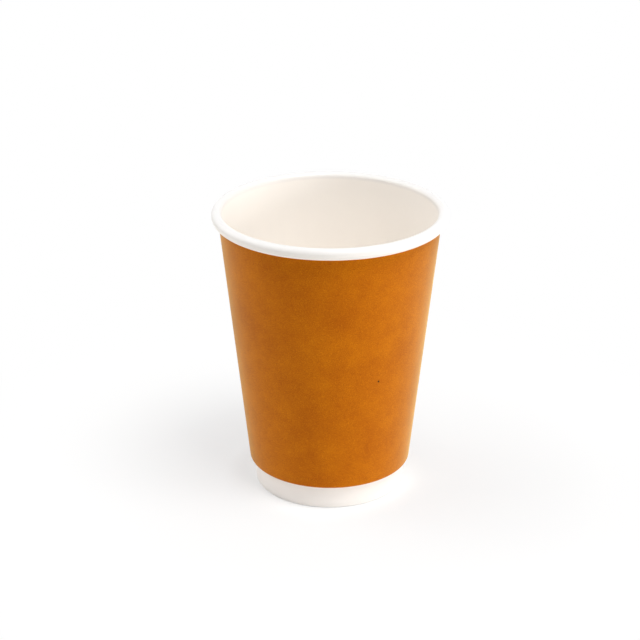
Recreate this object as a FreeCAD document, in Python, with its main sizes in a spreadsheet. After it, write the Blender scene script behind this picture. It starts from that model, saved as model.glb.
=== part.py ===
# A double-wall paper cup of the 12 ounce size, standing open and empty.
# Three sheets of board are formed and put together: the cup wall, whose top edge is rolled
# outward into the rim and whose bottom edge is folded up inside as the foot, the bottom disc
# that this fold holds by its skirt, and the outer sleeve, which keeps an air gap round the wall.
# Millimetres. The origin is at the middle of the foot, on the table, and +Z points up.

import FreeCAD, Part
import Sketcher
import math
import os

from FreeCAD import Placement, Rotation, Vector

doc = FreeCAD.newDocument("paper_cup")

# Driving dimensions
SIZES = {
    "height": 113.0,            # from the table to the top of the rolled rim
    "rim_diameter": 90.0,       # outside of the rolled rim, which a lid is pressed onto
    "foot_diameter": 58.4,      # outside of the folded foot
    "wall_board": 0.38,         # thickness of the cup wall's board
    "curl_width": 3.84,         # of the rolled rim's section, from the drink to the outside
    "curl_height": 4.4,         # of the rolled rim's section, from top to underside
    "curl_tuck": 0.5,           # length of the rolled edge that lies along the wall
    "curl_gap": 0.12,           # between the rolled edge and the wall that it is tucked against
    "hem_height": 7.0,          # from the table to the free edge of the folded foot
    "base_board": 0.36,         # thickness of the bottom disc's board
    "base_height": 9.6,         # from the table to the top of the bottom disc
    "glue_gap": 0.04,           # between two faces of board that are sealed together
    "sleeve_board": 0.42,       # thickness of the outer sleeve's board
    "sleeve_lift": 9.6,         # from the table to the lower edge of the sleeve
    "air_gap_top": 0.75,        # between the wall and the sleeve, just under the rim
    "air_gap_foot": 0.95,       # between the wall and the sleeve, at the sleeve's lower edge
    "lip_radius": 1.0,          # outside radius of the sleeve's turned-in lower edge
    "wall_lap": 8.0,            # width of the cup wall's side seam
    "wall_lap_angle": -4.0,     # degrees from +X to the middle of that seam
    "lap_taper": 4.0,           # length over which that seam is pressed flat below the rim
    "sleeve_lap": 10.0,         # width of the sleeve's side seam, which is at the back
    "sleeve_step": 0.3,         # how far that seam stands out, with its two layers pressed
}

sheet = doc.addObject("Spreadsheet::Sheet", "Sizes")
for row, (alias, value) in enumerate(SIZES.items(), start=1):
    sheet.set(f"A{row}", alias)
    sheet.set(f"B{row}", str(value))
    sheet.setAlias(f"B{row}", alias)
doc.recompute()

# Section sketches lie in the XZ plane: across is the radius, up is the height.
UPRIGHT = Placement(Vector(0, 0, 0), Rotation(Vector(1, 0, 0), 90))


def number(formula):
    """The value that a formula of the sheet's cells has now."""
    return float(sheet.evalExpression(formula.replace("Sizes.", "")))


class BoardPath:
    """The line that one face of a formed board follows in section.

    It is a run of straight stretches, creases and bends, each going on from the one before. Every
    length, radius and angle is a formula of the sheet's cells, and a turn to the left is positive.
    A bend is made of flats that touch its circle, so that the board keeps its thickness round it."""

    def __init__(self, name, across, up, heading):
        self.sketch = doc.addObject("Sketcher::SketchObject", name + "_path")
        self.sketch.Placement = UPRIGHT
        self.start = (across, up)
        self.point = Vector(number(across), number(up), 0)
        self.heading = heading
        self.length = "0"
        self.last = None

    def bind(self, formula, kind, *where):
        """Adds a constraint that takes its value from a formula."""
        index = self.sketch.addConstraint(Sketcher.Constraint(kind, *where))
        name = f"size_{index}"
        self.sketch.renameConstraint(index, name)
        self.sketch.setExpression(f"Constraints.{name}", formula)

    def straight(self, length):
        """Goes straight on. The stretch isn't drawn until a turn or the end closes it."""
        self.length = f"{self.length} + {length}"

    def close(self):
        """Draws the straight stretch that the path has come along."""
        run = number(self.length)
        angle = math.radians(number(self.heading))
        end = self.point + Vector(math.cos(angle), math.sin(angle), 0) * run
        edge = self.sketch.addGeometry(Part.LineSegment(self.point, end))
        if self.last is None:
            across, up = self.start
            self.bind(across, "DistanceX", edge, 1, self.point.x)
            self.bind(up, "DistanceY", edge, 1, self.point.y)
        else:
            self.sketch.addConstraint(Sketcher.Constraint("Coincident", self.last, 2, edge, 1))
        self.bind(self.heading, "Angle", edge, angle)
        self.bind(self.length, "Distance", edge, run)
        self.point = end
        self.last = edge
        self.length = "0"

    def crease(self, turn):
        """Ends the stretch in a sharp corner and turns there."""
        self.close()
        self.heading = f"{self.heading} + {turn}"
        if number(self.heading) <= -180:
            self.heading = f"{self.heading} + 360 deg"

    def bend(self, radius, turn, corners):
        """Turns along a circle, in flats between so many equal corners."""
        step = f"({turn}) / {corners}"
        reach = f"{radius} * tan(abs({step}) / 2)"
        for _ in range(corners):
            self.straight(reach)
            self.crease(step)
            self.straight(reach)


def board_section(name, path, thickness):
    """The board's own section: the path thickened to one side."""
    section = doc.addObject("Part::Offset2D", name + "_section")
    section.Source = path.sketch
    section.Mode = "Skin"
    section.Join = "Intersection"
    section.Fill = True
    section.setExpression("Value", thickness)
    return section


def outline(name, corners):
    """A closed section with straight edges between corners, each a radius and a height."""
    sketch = doc.addObject("Sketcher::SketchObject", name)
    sketch.Placement = UPRIGHT
    points = [Vector(number(across), number(up), 0) for across, up in corners]
    for index, (across, up) in enumerate(corners):
        following = (index + 1) % len(corners)
        sketch.addGeometry(Part.LineSegment(points[index], points[following]))
    for index, (across, up) in enumerate(corners):
        previous = (index - 1) % len(corners)
        sketch.addConstraint(Sketcher.Constraint("Coincident", previous, 2, index, 1))
        for kind, formula, value in (
            ("DistanceX", across, points[index].x),
            ("DistanceY", up, points[index].y),
        ):
            place = sketch.addConstraint(Sketcher.Constraint(kind, index, 1, value))
            sketch.renameConstraint(place, f"corner_{index}_{kind}")
            sketch.setExpression(f"Constraints.corner_{index}_{kind}", formula)
    return sketch


def turned(name, section):
    """The solid that a section makes when it goes once round the cup's axis."""
    solid = doc.addObject("Part::Revolution", name)
    solid.Source = section
    solid.Axis = Vector(0, 0, 1)
    solid.Angle = 360
    solid.Solid = True
    return solid


# The line of the cup wall's outer face. It touches the foot's fold from outside and passes
# inside the roll of the rim, so it is the crossed tangent of those two circles.
FOLD_RADIUS = "(Sizes.base_board / 2 + Sizes.glue_gap + Sizes.wall_board)"
FOLD_ACROSS = f"(Sizes.foot_diameter / 2 - {FOLD_RADIUS})"
CURL_RADIUS = "(Sizes.curl_width / 2 - Sizes.wall_board)"
CURL_ACROSS = "(Sizes.rim_diameter / 2 - Sizes.curl_width / 2)"
CURL_UP = "(Sizes.height - Sizes.curl_width / 2)"
RUN = f"({CURL_ACROSS} - {FOLD_ACROSS})"
RISE = f"({CURL_UP} - {FOLD_RADIUS})"
BETWEEN = f"sqrt({RUN} ^ 2 + {RISE} ^ 2)"
WALL_ANGLE = f"(atan2({RISE}; {RUN}) + asin(({FOLD_RADIUS} + {CURL_RADIUS}) / {BETWEEN}))"
WALL_LENGTH = f"sqrt({RUN} ^ 2 + {RISE} ^ 2 - ({FOLD_RADIUS} + {CURL_RADIUS}) ^ 2)"


def wall_face(up):
    """Radius of the wall's outer face at a height."""
    return (
        f"({FOLD_ACROSS} + {FOLD_RADIUS} / sin({WALL_ANGLE})"
        f" + ({up} - {FOLD_RADIUS}) / tan({WALL_ANGLE}))"
    )


def seam_band(name, ring, width, angle, low):
    """The strip of a ring that one side seam takes up: as wide as the seam, and from a height up."""
    band = doc.addObject("Part::Box", name + "_band")
    band.setExpression("Length", "Sizes.rim_diameter")
    band.setExpression("Width", width)
    band.setExpression("Height", "Sizes.height")
    band.setExpression("Placement.Base.x", f"{width} / 2 * sin({angle})")
    band.setExpression("Placement.Base.y", f"-{width} / 2 * cos({angle})")
    band.setExpression("Placement.Base.z", low)
    band.Placement.Rotation = Rotation(Vector(0, 0, 1), 0)
    band.setExpression("Placement.Rotation.Angle", angle)
    lap = doc.addObject("Part::Common", name)
    lap.Base = ring
    lap.Tool = band
    return lap


def joined(name, pieces):
    """One solid made of pieces that are the same sheet of board."""
    whole = doc.addObject("Part::MultiFuse", name)
    whole.Shapes = pieces
    return whole


# The cup wall is one sheet, wrapped into a cone. In section it runs down from the free edge
# of the hem, round the foot's fold, up the side, and round the roll of the rim, whose edge
# is tucked in against the wall. The path is the face that is outside on the side of the cup.
ROLL_LOW = "(Sizes.height - Sizes.curl_height + Sizes.curl_width / 2)"
TUCK_RADIUS = f"({CURL_ACROSS} - {wall_face(ROLL_LOW)} - Sizes.curl_gap - Sizes.wall_board)"
TURN_BACK = f"(180 deg - {WALL_ANGLE})"

wall_path = BoardPath(
    "wall",
    across=f"{wall_face('Sizes.hem_height')} - 2 * {FOLD_RADIUS} / sin({WALL_ANGLE})",
    up="Sizes.hem_height",
    heading=f"{WALL_ANGLE} - 180 deg",
)
wall_path.straight(f"(Sizes.hem_height - {FOLD_RADIUS} * (1 + cos({WALL_ANGLE}))) / sin({WALL_ANGLE})")
wall_path.bend(FOLD_RADIUS, TURN_BACK, corners=1)
wall_path.bend(FOLD_RADIUS, WALL_ANGLE, corners=2)
wall_path.straight(WALL_LENGTH)
wall_path.bend(CURL_RADIUS, f"-{WALL_ANGLE}", corners=2)
wall_path.bend(CURL_RADIUS, "-90 deg", corners=2)
wall_path.straight("Sizes.curl_height - Sizes.curl_width")
wall_path.bend(CURL_RADIUS, "-90 deg", corners=2)
wall_path.bend(TUCK_RADIUS, f"-{TURN_BACK}", corners=1)
wall_path.straight("Sizes.curl_tuck")
wall_path.close()
wall_sheet = turned("wall_sheet", board_section("wall", wall_path, "Sizes.wall_board"))

# The side seam stands up inside the cup: the under edge of the sheet is glued behind the
# upper one. It runs from the bottom disc to the rim, where the rolling tool pressed it flat.
WALL_ACROSS = f"(Sizes.wall_board / sin({WALL_ANGLE}))"
LAP_LOW = "(Sizes.base_height + Sizes.glue_gap)"
LAP_TOP = CURL_UP


def lap_corner(up, boards):
    """A corner of the seam's section, a number of boards in from the wall's outer face."""
    return (f"{wall_face(up)} - {boards} * {WALL_ACROSS}", up)


lap_section = outline(
    "wall_lap_section",
    [
        lap_corner(LAP_LOW, "0.5"),
        lap_corner(LAP_LOW, "2"),
        lap_corner(f"({LAP_TOP} - Sizes.lap_taper)", "2"),
        lap_corner(LAP_TOP, "1"),
        lap_corner(LAP_TOP, "0.5"),
    ],
)
wall_lap = seam_band(
    "wall_lap",
    turned("wall_lap_ring", lap_section),
    width="Sizes.wall_lap",
    angle="1 deg * Sizes.wall_lap_angle",
    low="0",
)
cup_wall = joined("cup_wall", [wall_sheet, wall_lap])


# The bottom disc is a shallow pressed tray, upside down. Its skirt stands in the foot's fold
# with the wall outside it and the folded-up hem inside it.
def skirt_face(up):
    """Radius of the skirt's outer face at a height."""
    return f"({wall_face(up)} - (Sizes.wall_board + Sizes.glue_gap) / sin({WALL_ANGLE}))"


SKIRT_FOOT = FOLD_RADIUS

base_path = BoardPath("base", across="0", up="Sizes.base_height", heading="0 deg")
base_path.straight(skirt_face("Sizes.base_height"))
base_path.crease(f"-{TURN_BACK}")
base_path.straight(f"(Sizes.base_height - {SKIRT_FOOT}) / sin({WALL_ANGLE})")
base_path.close()
base_disc = turned("base_disc", board_section("base", base_path, "-Sizes.base_board"))


# The outer sleeve is a second cone, held off the wall by the air gap. Its top edge is tucked
# up behind the rolled rim, and its lower edge is turned in until it bears on the wall.
SLEEVE_TOP = (
    "(Sizes.height - Sizes.curl_height - Sizes.glue_gap"
    f" - Sizes.sleeve_board * cos({WALL_ANGLE}))"
)
SLEEVE_TOP_FACE = f"({wall_face(SLEEVE_TOP)} + Sizes.air_gap_top + Sizes.sleeve_board)"
SLEEVE_LOW_FACE = f"({wall_face('Sizes.sleeve_lift')} + Sizes.air_gap_foot + Sizes.sleeve_board)"
SLEEVE_ANGLE = f"atan2({SLEEVE_TOP} - Sizes.sleeve_lift; {SLEEVE_TOP_FACE} - {SLEEVE_LOW_FACE})"
LIP_UP = "(Sizes.sleeve_lift + Sizes.lip_radius)"
LIP_ACROSS = (
    f"({SLEEVE_LOW_FACE} + Sizes.lip_radius / tan({SLEEVE_ANGLE})"
    f" - Sizes.lip_radius / sin({SLEEVE_ANGLE}))"
)
LIP_EDGE = f"({wall_face('(Sizes.sleeve_lift + Sizes.sleeve_board)')} + Sizes.glue_gap)"

sleeve_path = BoardPath(
    "sleeve", across=SLEEVE_TOP_FACE, up=SLEEVE_TOP, heading=f"{SLEEVE_ANGLE} - 180 deg"
)
sleeve_path.straight(
    f"({SLEEVE_TOP} - {LIP_UP} + Sizes.lip_radius * cos({SLEEVE_ANGLE})) / sin({SLEEVE_ANGLE})"
)
sleeve_path.bend("Sizes.lip_radius", f"-{SLEEVE_ANGLE}", corners=2)
sleeve_path.straight(f"{LIP_ACROSS} - {LIP_EDGE}")
sleeve_path.close()
sleeve_sheet = turned("sleeve_sheet", board_section("sleeve", sleeve_path, "-Sizes.sleeve_board"))
sleeve_ring = turned("sleeve_ring", board_section("sleeve_lap", sleeve_path, "Sizes.sleeve_step"))
sleeve_lap = seam_band(
    "sleeve_lap", sleeve_ring, width="Sizes.sleeve_lap", angle="90 deg", low="Sizes.sleeve_lift"
)
outer_sleeve = joined("outer_sleeve", [sleeve_sheet, sleeve_lap])

NODES = [cup_wall, base_disc, outer_sleeve]
for node in NODES:
    node.Label = node.Name
doc.recompute()

for item in doc.Objects:
    if "Invalid" in item.State or "Error" in item.State:
        raise RuntimeError(f"{item.Name} did not recompute: {item.State}")
for node in NODES:
    if node.Shape.isNull() or not node.Shape.isValid():
        raise RuntimeError(f"{node.Label} has no valid shape")
    if len(node.Shape.Solids) != 1:
        raise RuntimeError(f"{node.Label} is {len(node.Shape.Solids)} solids, not one")

os.makedirs("parts", exist_ok=True)
for node in NODES:
    node.Shape.exportStep(f"parts/{node.Label}.step")
    print(f"{node.Label}: {node.Shape.Volume:.0f} cubic millimetres")
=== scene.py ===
import math

import bpy
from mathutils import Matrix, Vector


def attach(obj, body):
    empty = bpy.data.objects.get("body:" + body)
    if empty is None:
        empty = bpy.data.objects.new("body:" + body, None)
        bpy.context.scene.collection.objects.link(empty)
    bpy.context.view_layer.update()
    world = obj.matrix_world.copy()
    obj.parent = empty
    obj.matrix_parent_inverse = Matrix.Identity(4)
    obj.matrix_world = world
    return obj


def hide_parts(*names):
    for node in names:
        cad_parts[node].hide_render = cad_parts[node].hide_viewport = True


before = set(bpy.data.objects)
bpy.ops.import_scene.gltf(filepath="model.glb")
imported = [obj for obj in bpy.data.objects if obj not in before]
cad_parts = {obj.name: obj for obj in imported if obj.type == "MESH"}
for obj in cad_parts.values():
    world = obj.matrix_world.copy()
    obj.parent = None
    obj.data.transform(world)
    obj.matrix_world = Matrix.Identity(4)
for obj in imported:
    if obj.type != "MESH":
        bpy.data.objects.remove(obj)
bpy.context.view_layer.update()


# THE CUP WALL
# One sheet of white board with a sealed film on the drink's side, wrapped into a cone and
# lapped at a side seam. Its top edge is rolled outward into the rim, and its bottom edge is
# folded up inside as the foot, where it grips the bottom disc's skirt.
MM = 0.001
HEIGHT = 113.0
RIM_DIAMETER = 90.0
FOOT_DIAMETER = 58.4
WALL_BOARD = 0.38
CURL_WIDTH = 3.84
CURL_HEIGHT = 4.4
CURL_TUCK = 0.5
CURL_GAP = 0.12
HEM_HEIGHT = 7.0
BASE_BOARD = 0.36
BASE_HEIGHT = 9.6
GLUE_GAP = 0.04
WALL_LAP = 8.0
WALL_LAP_ANGLE = math.radians(-4.0)
LAP_TAPER = 4.0
CUT_EDGE = 0.02

# The outer face runs straight between the circle of the foot's fold and that of the roll.
FOLD_RADIUS = BASE_BOARD / 2 + GLUE_GAP + WALL_BOARD
FOLD_ACROSS = FOOT_DIAMETER / 2 - FOLD_RADIUS
CURL_RADIUS = CURL_WIDTH / 2 - WALL_BOARD
CURL_ACROSS = RIM_DIAMETER / 2 - CURL_WIDTH / 2
CURL_UP = HEIGHT - CURL_WIDTH / 2
CIRCLES_APART = math.hypot(CURL_ACROSS - FOLD_ACROSS, CURL_UP - FOLD_RADIUS)
WALL_ANGLE = math.atan2(CURL_UP - FOLD_RADIUS, CURL_ACROSS - FOLD_ACROSS) + math.asin(
    (FOLD_RADIUS + CURL_RADIUS) / CIRCLES_APART
)
WALL_LENGTH = math.sqrt(CIRCLES_APART**2 - (FOLD_RADIUS + CURL_RADIUS) ** 2)


def wall_face(up):
    """Radius of the wall's outer face at a height."""
    return (
        FOLD_ACROSS
        + FOLD_RADIUS / math.sin(WALL_ANGLE)
        + (up - FOLD_RADIUS) / math.tan(WALL_ANGLE)
    )


class BoardLine:
    """The line that one face of a formed board follows in section, with its bends as arcs."""

    def __init__(self, across, up, heading):
        self.marks = [(across, up, heading)]

    def straight(self, length, steps=1):
        """Goes straight on."""
        across, up, heading = self.marks[-1]
        for step in range(1, steps + 1):
            reach = length * step / steps
            self.marks.append((
                across + math.cos(heading) * reach,
                up + math.sin(heading) * reach,
                heading,
            ))

    def bend(self, radius, turn, steps):
        """Goes round an arc; a turn to the left is positive."""
        across, up, heading = self.marks[-1]
        side = math.copysign(radius, turn)
        for step in range(1, steps + 1):
            now = heading + turn * step / steps
            self.marks.append((
                across + side * (math.sin(now) - math.sin(heading)),
                up - side * (math.cos(now) - math.cos(heading)),
                now,
            ))

    def face(self, depth=0.0):
        """The points of the face that lies so deep to the left of the line."""
        return [
            (across - math.sin(heading) * depth, up + math.cos(heading) * depth)
            for across, up, heading in self.marks
        ]


class Lap:
    """A side seam: where it is round the cup, and what it stands out from side to side.

    Each mark is a place across the seam and the share of the seam's full height there."""

    def __init__(self, angle, marks):
        self.angle = angle
        self.marks = marks

    def columns(self, radius, around):
        """The angle and the share of the seam's height for each column round a ring."""
        offsets = [(math.asin(across / radius), share) for across, share in self.marks]
        first, last = offsets[0][0], offsets[-1][0]
        rest = 2 * math.pi + first - last
        offsets += [(last + rest * step / around, 0.0) for step in range(1, around)]
        return [(self.angle + offset, share) for offset, share in offsets]


def turned_board(name, section, rises, lap, around):
    """A board turned round the cup's axis, from the points of its section in order, all round,
    with the board on their left. A point on the axis becomes one corner.

    rises says for each point how far the seam moves it towards the axis."""
    columns = len(lap.marks) + around - 1
    points, rows = [], []
    for (across, up), rise in zip(section, rises):
        if across == 0.0:
            rows.append([len(points)] * columns)
            points.append((0.0, 0.0, up * MM))
            continue
        rows.append(range(len(points), len(points) + columns))
        for angle, share in lap.columns(across, around):
            out = (across - rise * share) * MM
            points.append((out * math.cos(angle), out * math.sin(angle), up * MM))
    skin = []
    for row, following in zip(rows, rows[1:] + rows[:1]):
        for column in range(columns):
            beside = (column + 1) % columns
            corners = (row[column], row[beside], following[beside], following[column])
            corners = list(dict.fromkeys(corners))
            if len(corners) > 2:
                skin.append(corners)
    return shaped(name, points, skin)


SHARP_CORNER = math.radians(40)


def shaped(name, points, faces):
    """A smooth mesh object whose sharp corners stay sharp."""
    mesh = bpy.data.meshes.new(name)
    mesh.from_pydata(points, [], faces)
    mesh.validate()
    mesh.shade_smooth()
    mesh.set_sharp_from_angle(angle=SHARP_CORNER)
    piece = bpy.data.objects.new(name, mesh)
    bpy.context.scene.collection.objects.link(piece)
    return piece


ROLL_LOW = HEIGHT - CURL_HEIGHT + CURL_WIDTH / 2
TUCK_RADIUS = CURL_ACROSS - wall_face(ROLL_LOW) - CURL_GAP - WALL_BOARD
LAP_LOW = BASE_HEIGHT + GLUE_GAP
LAP_TOP = CURL_UP
# The inner face lies a little higher than its marks, by the board's slant, so the seam's low
# edge has its marks a little lower than the edge itself.
LAP_MARK_DROP = 0.06

# How finely each stretch of the wall is stepped, and the wall as a whole round the cup.
HEM_STEPS = 4
FOLD_STEPS = 14
FOOT_STEPS = 5
SIDE_STEPS = 28
TAPER_STEPS = 4
CURL_STEPS = 12
TUCK_STEPS = 10
WALL_AROUND = 224

wall_line = BoardLine(
    wall_face(HEM_HEIGHT) - 2 * FOLD_RADIUS / math.sin(WALL_ANGLE),
    HEM_HEIGHT,
    WALL_ANGLE - math.pi,
)
hem_length = (HEM_HEIGHT - FOLD_RADIUS * (1 + math.cos(WALL_ANGLE))) / math.sin(WALL_ANGLE)
wall_line.straight(hem_length, HEM_STEPS)
wall_line.bend(FOLD_RADIUS, math.pi, FOLD_STEPS)
side_start = len(wall_line.marks)
below_lap = (LAP_LOW - wall_line.marks[-1][1]) / math.sin(WALL_ANGLE) - LAP_MARK_DROP
wall_line.straight(below_lap, FOOT_STEPS)
wall_line.straight(CUT_EDGE)
wall_line.straight(WALL_LENGTH - below_lap - CUT_EDGE - LAP_TAPER, SIDE_STEPS)
wall_line.straight(LAP_TAPER, TAPER_STEPS)
side_end = len(wall_line.marks)
wall_line.bend(CURL_RADIUS, -WALL_ANGLE, CURL_STEPS)
wall_line.bend(CURL_RADIUS, -math.pi / 2, CURL_STEPS)
wall_line.straight(CURL_HEIGHT - CURL_WIDTH)
wall_line.bend(CURL_RADIUS, -math.pi / 2, CURL_STEPS)
wall_line.bend(TUCK_RADIUS, WALL_ANGLE - math.pi, TUCK_STEPS)
wall_line.straight(CURL_TUCK)

outer_face = wall_line.face()
inner_face = wall_line.face(WALL_BOARD)


def seam_rise(up):
    """How far the seam's second board stands into the cup at a height."""
    if up < LAP_LOW:
        return 0.0
    return WALL_BOARD * min(1.0, max(0.0, (LAP_TOP - up) / LAP_TAPER))


inner_rises = [
    seam_rise(up) if side_start <= row < side_end else 0.0
    for row, (across, up) in enumerate(inner_face)
]
# The under sheet's cut edge makes the step on the far side of the seam. On the near side the
# upper sheet slopes back onto the wall.
wall_seam = Lap(WALL_LAP_ANGLE, [
    (-WALL_LAP / 2, 0.0),
    (-WALL_LAP / 2 + CUT_EDGE, 1.0),
    (-1.0, 1.0),
    (1.0, 0.96),
    (WALL_LAP / 2 - 1.6, 0.42),
    (WALL_LAP / 2 - 0.8, 0.12),
    (WALL_LAP / 2, 0.0),
])
cup = turned_board(
    "rolled_cup_wall",
    outer_face + inner_face[::-1],
    [0.0] * len(outer_face) + inner_rises[::-1],
    wall_seam,
    WALL_AROUND,
)


class Signal:
    """A value inside a finish, which plain sums can use."""

    def __init__(self, finish, socket):
        self.finish = finish
        self.socket = socket

    def maths(self, operation, *values):
        return self.finish.node(
            "ShaderNodeMath", {"operation": operation}, dict(enumerate(values))
        )

    def __add__(self, other):
        return self.maths("ADD", self, other)

    def __radd__(self, other):
        return self.maths("ADD", other, self)

    def __sub__(self, other):
        return self.maths("SUBTRACT", self, other)

    def __rsub__(self, other):
        return self.maths("SUBTRACT", other, self)

    def __mul__(self, other):
        return self.maths("MULTIPLY", self, other)

    def __rmul__(self, other):
        return self.maths("MULTIPLY", other, self)


# A Mix node has sockets of the same names for each kind of value, so the sockets for colours
# go by their places.
MIX_SHARE = 0
MIX_FIRST = 6
MIX_SECOND = 7
MIX_RESULT = 2


class Finish:
    """The nodes of one finish, added one call at a time."""

    def __init__(self, owner):
        owner.use_nodes = True
        self.tree = owner.node_tree
        self.tree.nodes.clear()

    def node(self, kind, settings=None, sockets=None, out=0):
        """Adds a node: its settings first, then its sockets' values or links. Gives one output."""
        node = self.tree.nodes.new(kind)
        for name, value in (settings or {}).items():
            setattr(node, name, value)
        for name, value in (sockets or {}).items():
            if isinstance(value, Signal):
                self.tree.links.new(value.socket, node.inputs[name])
            else:
                node.inputs[name].default_value = value
        return Signal(self, node.outputs[out]) if node.outputs else None

    def blended(self, first, second, share):
        """A colour between two colours."""
        return self.node(
            "ShaderNodeMix",
            {"data_type": "RGBA", "clamp_factor": True},
            {MIX_SHARE: share, MIX_FIRST: opaque(first), MIX_SECOND: opaque(second)},
            out=MIX_RESULT,
        )

    def mixed(self, first, second, share):
        """A surface between two surfaces."""
        return self.node("ShaderNodeMixShader", sockets={0: share, 1: first, 2: second})

    def noise(self, place, scale, detail, roughness=0.5):
        """Soft noise between 0 and 1, with so many cells a metre."""
        return self.node(
            "ShaderNodeTexNoise",
            {"noise_dimensions": "3D"},
            {"Vector": place, "Scale": scale, "Detail": detail, "Roughness": roughness},
        )

    def squeezed(self, place, scale):
        """A place with each of its directions scaled, which draws noise out into fibres."""
        return self.node("ShaderNodeMapping", sockets={"Vector": place, "Scale": scale})

    def ranged(self, value, low, high, to_low=0.0, to_high=1.0):
        """A value brought from one range into another and held there."""
        return self.node(
            "ShaderNodeMapRange",
            {"clamp": True},
            {
                "Value": value,
                "From Min": low,
                "From Max": high,
                "To Min": to_low,
                "To Max": to_high,
            },
        )


def opaque(colour):
    """A colour as the four numbers that a colour socket takes."""
    return colour if isinstance(colour, Signal) else (*colour, 1.0)


# The rolled rim is the same creamy board; its grey is painted shade, darker towards the top of the
# roll where the lamps light it most.
PAINTED_RIM_SHADE = (0.742, 0.732, 0.722)
FOOT_WHITE = (0.965, 0.925, 0.882)


def white_board(name, colour, shade, gloss):
    """White cup board under a thin film: nearly even, with faint clouds and a fine tooth.

    It is creamy where it faces the drink and a little cleaner on the foot. Towards the top of the
    rolled rim it is painted a darker grey, as painted shade."""
    material = bpy.data.materials.new(name)
    finish = Finish(material)
    place = finish.node("ShaderNodeTexCoord", out="Object")
    height = finish.node("ShaderNodeSeparateXYZ", sockets={"Vector": place}, out="Z")
    clouds = finish.noise(place, scale=110, detail=3.0)
    fibres = finish.noise(
        finish.squeezed(place, (1.0, 1.0, 0.45)), scale=1500, detail=3.0, roughness=0.6
    )
    mottle = finish.ranged(0.6 * clouds + 0.4 * fibres, low=0.35, high=0.65)
    # Towards the top of the roll the board goes over into the painted shade.
    painted_rim_shade_share = finish.ranged(height, low=110.3 * MM, high=112.9 * MM)
    on_foot = 1 - finish.ranged(height, low=8.8 * MM, high=9.4 * MM)
    board_colour = finish.blended(shade, colour, mottle)
    # The rim's painted shade is laid over the board's own colour.
    board_colour = finish.blended(board_colour, PAINTED_RIM_SHADE, painted_rim_shade_share)
    board_colour = finish.blended(board_colour, FOOT_WHITE, on_foot)
    roughness = finish.ranged(
        fibres, low=0.3, high=0.7, to_low=gloss - 0.04, to_high=gloss + 0.05
    )
    tooth = finish.node(
        "ShaderNodeBump", sockets={"Strength": 0.10, "Distance": 0.03 * MM, "Height": fibres}
    )
    board = finish.node("ShaderNodeBsdfPrincipled", sockets={
        "Base Color": board_colour,
        "Roughness": roughness,
        "Specular IOR Level": 0.3,
        "Normal": tooth,
    })
    finish.node("ShaderNodeOutputMaterial", sockets={"Surface": board})
    return material


cup.data.materials.append(white_board(
    "film_coated_white_board",
    colour=(0.974, 0.925, 0.866),
    shade=(0.970, 0.919, 0.859),
    gloss=0.42,
))
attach(cup, "root")
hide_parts("cup_wall")


# THE BOTTOM DISC
# A disc of the same white board, pressed into a shallow tray and set in upside down. Its
# skirt stands in the foot's fold, sealed between the wall and the folded-up hem.
BASE_BEND = 1.1
BASE_FLAT_STEPS = 12
BASE_BEND_STEPS = 10
SKIRT_STEPS = 6
BASE_AROUND = 160


def skirt_face(up):
    """Radius of the skirt's outer face at a height."""
    return wall_face(up) - (WALL_BOARD + GLUE_GAP) / math.sin(WALL_ANGLE)


base_flat = skirt_face(BASE_HEIGHT - BASE_BEND) - BASE_BEND / math.sin(WALL_ANGLE)
base_line = BoardLine(0.0, BASE_HEIGHT, 0.0)
base_line.straight(base_flat, BASE_FLAT_STEPS)
base_line.bend(BASE_BEND, WALL_ANGLE - math.pi, BASE_BEND_STEPS)
skirt_length = (base_line.marks[-1][1] - FOLD_RADIUS) / math.sin(WALL_ANGLE)
base_line.straight(skirt_length, SKIRT_STEPS)
base_section = base_line.face(-BASE_BOARD) + base_line.face()[::-1]
# The disc is cut in one piece, so its lap is a single mark that stands out nowhere.
no_lap = Lap(0.0, [(0.0, 0.0)])
base = turned_board(
    "bottom_disc", base_section, [0.0] * len(base_section), no_lap, BASE_AROUND
)
base.data.materials.append(white_board(
    "bottom_white_board",
    colour=(0.962, 0.918, 0.860),
    shade=(0.957, 0.911, 0.852),
    gloss=0.48,
))
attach(base, "root")
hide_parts("base_disc")


# THE OUTER SLEEVE
# A second cone of kraft-brown board, held off the wall by a narrow air gap. Its top edge
# stands behind the rolled rim, its lower edge is turned in to the wall, and its ends are
# lapped at the back.
SLEEVE_BOARD = 0.42
SLEEVE_LIFT = 9.6
AIR_GAP_TOP = 0.75
AIR_GAP_FOOT = 0.95
LIP_RADIUS = 1.0
SLEEVE_LAP = 10.0
SLEEVE_LAP_ANGLE = math.pi / 2
SLEEVE_STEP = 0.3
SLEEVE_SIDE_STEPS = 40
LIP_BEND_STEPS = 12
LIP_STEPS = 2
SLEEVE_AROUND = 224

SLEEVE_TOP = HEIGHT - CURL_HEIGHT - GLUE_GAP - SLEEVE_BOARD * math.cos(WALL_ANGLE)
sleeve_top_face = wall_face(SLEEVE_TOP) + AIR_GAP_TOP + SLEEVE_BOARD
sleeve_low_face = wall_face(SLEEVE_LIFT) + AIR_GAP_FOOT + SLEEVE_BOARD
SLEEVE_ANGLE = math.atan2(SLEEVE_TOP - SLEEVE_LIFT, sleeve_top_face - sleeve_low_face)
side_rise = SLEEVE_TOP - SLEEVE_LIFT - LIP_RADIUS * (1 - math.cos(SLEEVE_ANGLE))
lip_across = (
    sleeve_low_face
    + LIP_RADIUS / math.tan(SLEEVE_ANGLE)
    - LIP_RADIUS / math.sin(SLEEVE_ANGLE)
)
lip_edge = wall_face(SLEEVE_LIFT + SLEEVE_BOARD) + GLUE_GAP

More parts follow.
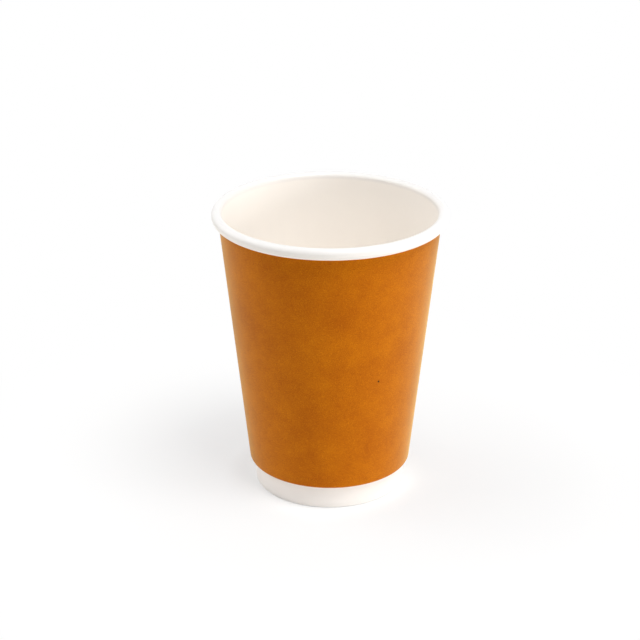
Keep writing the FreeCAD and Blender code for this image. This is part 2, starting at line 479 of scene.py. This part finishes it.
sleeve_line = BoardLine(sleeve_top_face, SLEEVE_TOP, SLEEVE_ANGLE - math.pi)
sleeve_line.straight(side_rise / math.sin(SLEEVE_ANGLE), SLEEVE_SIDE_STEPS)
sleeve_line.bend(LIP_RADIUS, -SLEEVE_ANGLE, LIP_BEND_STEPS)
sleeve_line.straight(lip_across - lip_edge, LIP_STEPS)
shown_face = sleeve_line.face()
hidden_face = sleeve_line.face(-SLEEVE_BOARD)
# The seam stands out on the side of the cup and dies away round the turned-in edge.
shown_rises = [
    -SLEEVE_STEP * max(0.0, -math.sin(heading)) ** 2
    for across, up, heading in sleeve_line.marks
]
sleeve_seam = Lap(SLEEVE_LAP_ANGLE, [
    (-SLEEVE_LAP / 2, 0.0),
    (-SLEEVE_LAP / 2 + CUT_EDGE, 1.0),
    (-2.0, 1.0),
    (1.0, 0.95),
    (3.0, 0.55),
    (4.2, 0.18),
    (SLEEVE_LAP / 2, 0.0),
])
sleeve = turned_board(
    "kraft_sleeve",
    hidden_face + shown_face[::-1],
    [0.0] * len(hidden_face) + shown_rises[::-1],
    sleeve_seam,
    SLEEVE_AROUND,
)

KRAFT_DARK = (0.432, 0.098, 0.0002)
KRAFT_LIGHT = (0.600, 0.168, 0.0010)
PALE_FIBRE = (0.74, 0.29, 0.012)
DARK_FLECK = (0.30, 0.055, 0.001)
# One dark speck shows in the pulp, on the right of the front.
SPECK = (0.008, 0.004, 0.002)
SPECK_PLACE = (18.38 * MM, -31.63 * MM, 55.28 * MM)

kraft = bpy.data.materials.new("kraft_brown_board")
pulp_finish = Finish(kraft)
place = pulp_finish.node("ShaderNodeTexCoord", out="Object")
blotches = pulp_finish.noise(place, scale=60, detail=2.0)
clouds = pulp_finish.noise(place, scale=170, detail=1.0)
patches = pulp_finish.noise(place, scale=480, detail=1.0)
speckle = pulp_finish.noise(place, scale=3400, detail=1.0, roughness=0.6)
fibres = pulp_finish.noise(
    pulp_finish.squeezed(place, (1.0, 1.0, 3.2)), scale=520, detail=4.0, roughness=0.65
)
pulp = 0.28 * blotches + 0.18 * clouds + 0.08 * patches + 0.34 * speckle + 0.12 * fibres
mottle = pulp_finish.ranged(pulp, low=0.37, high=0.63)
pale = 0.34 * pulp_finish.ranged(speckle, low=0.54, high=0.72)
dark = 0.38 * (1 - pulp_finish.ranged(speckle, low=0.28, high=0.46))
from_speck = pulp_finish.node(
    "ShaderNodeVectorMath",
    {"operation": "DISTANCE"},
    {0: place, 1: SPECK_PLACE},
    out="Value",
)
on_speck = 1 - pulp_finish.ranged(from_speck, low=0.34 * MM, high=0.46 * MM)
brown = pulp_finish.blended(KRAFT_DARK, KRAFT_LIGHT, mottle)
brown = pulp_finish.blended(brown, PALE_FIBRE, pale)
brown = pulp_finish.blended(brown, DARK_FLECK, dark)
brown = pulp_finish.blended(brown, SPECK, on_speck)
roughness = pulp_finish.ranged(speckle, low=0.3, high=0.7, to_low=0.42, to_high=0.52)
tooth = pulp_finish.node("ShaderNodeBump", sockets={
    "Strength": 0.25,
    "Distance": 0.04 * MM,
    "Height": 0.5 * speckle + 0.5 * fibres,
})
board = pulp_finish.node("ShaderNodeBsdfPrincipled", sockets={
    "Base Color": brown,
    "Roughness": roughness,
    "Specular IOR Level": 0.02,
    "Sheen Weight": 0.60,
    "Sheen Roughness": 0.39,
    "Sheen Tint": (1.0, 0.88, 0.42, 1.0),
    "Normal": tooth,
})
pulp_finish.node("ShaderNodeOutputMaterial", sockets={"Surface": board})
sleeve.data.materials.append(kraft)
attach(sleeve, "root")
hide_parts("outer_sleeve")


# THE TABLE AND THE LIGHT
# A wide white table top under four soft studio lamps. The strongest hangs overhead, a little
# to the right and in front, a low one stands at the right, and two fill in from the left.
TABLE_HALF = 4000.0 * MM
table = shaped(
    "table_top",
    [
        (-TABLE_HALF, -TABLE_HALF, 0.0),
        (TABLE_HALF, -TABLE_HALF, 0.0),
        (TABLE_HALF, TABLE_HALF, 0.0),
        (-TABLE_HALF, TABLE_HALF, 0.0),
    ],
    [(0, 1, 2, 3)],
)


def seen_as_background(finish):
    """1 on rays that show the background itself, also in metal and through glass."""
    rays = ("Is Camera Ray", "Is Glossy Ray", "Is Transmission Ray")
    return sum(finish.node("ShaderNodeLightPath", out=ray) for ray in rays)


paint = bpy.data.materials.new("white_table_paint")
table_finish = Finish(paint)
place = table_finish.node("ShaderNodeNewGeometry", out="Position")
away = table_finish.node(
    "ShaderNodeVectorMath", {"operation": "LENGTH"}, {0: place}, out="Value"
)
# Under the cup the paint keeps its shading, and further out it goes over into plain white.
by_foot = table_finish.ranged(away, low=29 * MM, high=42 * MM, to_low=0.40, to_high=0.72)
further = table_finish.ranged(away, low=50 * MM, high=170 * MM, to_low=0.0, to_high=0.28)
lit = table_finish.node("ShaderNodeBsdfPrincipled", sockets={
    "Base Color": (0.88, 0.88, 0.875, 1.0),
    "Roughness": 0.8,
    "Specular IOR Level": 0.1,
})
# Near the cup the plain white glow is painted dimmer, a painted shade round the foot, and it comes
# up to full white by about 110 mm out.
painted_shade_fade = table_finish.ranged(away, low=40 * MM, high=110 * MM)
glow_with_painted_shade = table_finish.blended((0.922, 0.925, 0.928), (1.0, 1.0, 1.0), painted_shade_fade)
glow = table_finish.node(
    "ShaderNodeEmission", sockets={"Color": glow_with_painted_shade, "Strength": 1.0}
)
plain = seen_as_background(table_finish) * (by_foot + further)
top = table_finish.mixed(lit, glow, plain)
table_finish.node("ShaderNodeOutputMaterial", sockets={"Surface": top})
table.data.materials.append(paint)

# To the eye the studio is plain white, but it lights the cup only dimly.
WHITE = (1.0, 1.0, 1.0, 1.0)
DIM_STRENGTH = 0.14
world = bpy.data.worlds.new("studio")
bpy.context.scene.world = world
studio_finish = Finish(world)
dim = studio_finish.node(
    "ShaderNodeBackground", sockets={"Color": WHITE, "Strength": DIM_STRENGTH}
)
bright = studio_finish.node("ShaderNodeBackground", sockets={"Color": WHITE, "Strength": 1.0})
studio = studio_finish.mixed(dim, bright, seen_as_background(studio_finish))
studio_finish.node("ShaderNodeOutputWorld", sockets={"Surface": studio})

# The lamps and the eye stand so many metres from the foot's middle.
CUP_MIDDLE = Vector((0.0, 0.0, 0.06))


def lamp(name, place, width, height, power):
    """A flat soft lamp that faces the middle of the cup."""
    light = bpy.data.lights.new(name, "AREA")
    light.shape = "RECTANGLE"
    light.size = width
    light.size_y = height
    light.energy = power
    stand = bpy.data.objects.new(name, light)
    stand.location = place
    stand.rotation_euler = (CUP_MIDDLE - stand.location).to_track_quat("-Z", "Y").to_euler()
    bpy.context.scene.collection.objects.link(stand)


lamp("lamp_right_low", (1.08, -0.28, 0.20), width=0.6, height=0.3, power=5.3)
lamp("lamp_left", (-0.75, 0.0, 1.0), width=0.7, height=0.7, power=4.7)
lamp("lamp_left_back", (-0.95, 0.45, 0.55), width=0.7, height=0.7, power=3.4)
lamp("lamp_overhead", (0.35, -0.35, 1.2), width=0.6, height=0.6, power=13.9)

camera = bpy.data.cameras.new("camera")
camera.lens = 106.27
camera.sensor_width = 36.0
eye = bpy.data.objects.new("camera", camera)
eye.location = (0.0, -0.6753, 0.3557)
eye.rotation_euler = (math.radians(66.841), 0.0, math.radians(0.322))
bpy.context.scene.collection.objects.link(eye)
bpy.context.scene.camera = eye
bpy.context.scene.view_settings.view_transform = "Standard"
